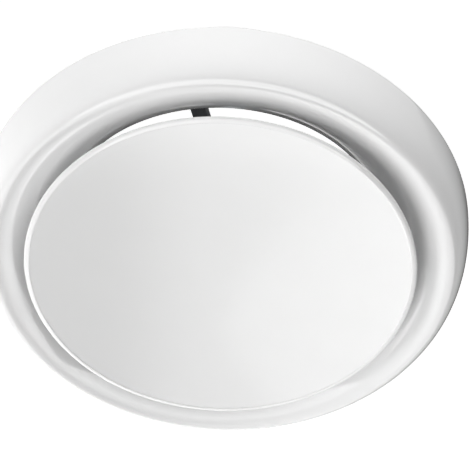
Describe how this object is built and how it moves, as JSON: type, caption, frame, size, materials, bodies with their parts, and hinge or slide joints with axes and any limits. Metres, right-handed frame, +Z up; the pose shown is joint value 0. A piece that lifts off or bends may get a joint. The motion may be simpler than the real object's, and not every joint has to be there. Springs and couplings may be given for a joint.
{
  "type": "ventilation disc valve",
  "caption": "Round ceiling or wall disc valve for a duct: flared ring, dished disc on a threaded spindle, bridge, lock nut and spring clips.",
  "frame": {"origin": "on the valve's axis, in the plane of the wall or ceiling that the gasket lies on", "axes": "+Y along the valve's axis into the duct, so the disc faces -Y; +Z up; +X to the right as seen from the room"},
  "size_m": [0.168, 0.0819, 0.168],
  "materials": {
    "white_powder_coat": "gloss white powder coat on drawn steel",
    "grey_foam": "closed-cell foam",
    "dark_zinc": "dark passivated zinc on pressed steel",
    "bright_zinc": "bright zinc plate on steel",
    "spring_steel": "tempered spring steel",
    "rivet_alloy": "plain aluminium",
    "natural_nylon": "natural nylon"
  },
  "bodies": {
    "housing": {"valve_ring": "white_powder_coat", "wall_gasket": "grey_foam", "bridge": "dark_zinc", "threaded_bush": "bright_zinc", "bridge_rivet_upper": "rivet_alloy", "bridge_rivet_lower": "rivet_alloy", "spring_clip_a": "spring_steel", "spring_clip_b": "spring_steel", "spring_clip_c": "spring_steel", "clip_rivet_a": "rivet_alloy", "clip_rivet_b": "rivet_alloy", "clip_rivet_c": "rivet_alloy"},
    "stop_rider": {"stop_washer": "natural_nylon"},
    "disc_unit": {"valve_disc": "white_powder_coat", "hub_cup": "bright_zinc", "spindle": "bright_zinc", "hub_nut": "bright_zinc", "retaining_ring": "spring_steel"},
    "washer_rider": {"lock_washer": "spring_steel"},
    "lock_nut": {"lock_nut": "bright_zinc"}
  },
  "joints": [
    {"name": "disc_travel", "type": "slide", "parent": "housing", "child": "stop_rider", "axis": [0, -1, 0], "range_m": [-0.006, 0.009]},
    {"name": "disc_turn", "type": "hinge", "parent": "stop_rider", "child": "disc_unit", "pos_m": [0, 0, 0], "axis": [0, -1, 0], "range_deg": [-1728, 2592]},
    {"name": "nut_travel", "type": "slide", "parent": "housing", "child": "washer_rider", "axis": [0, 1, 0], "range_m": [0, 0.004]},
    {"name": "nut_turn", "type": "hinge", "parent": "washer_rider", "child": "lock_nut", "pos_m": [0, 0.03335, 0], "axis": [0, 1, 0], "range_deg": [0, 1152]}
  ],
  "couplings": [
    {"joint": "disc_turn", "follows": "disc_travel", "rad_per_m": 5026.5},
    {"joint": "nut_turn", "follows": "nut_travel", "rad_per_m": 5026.5}
  ]
}
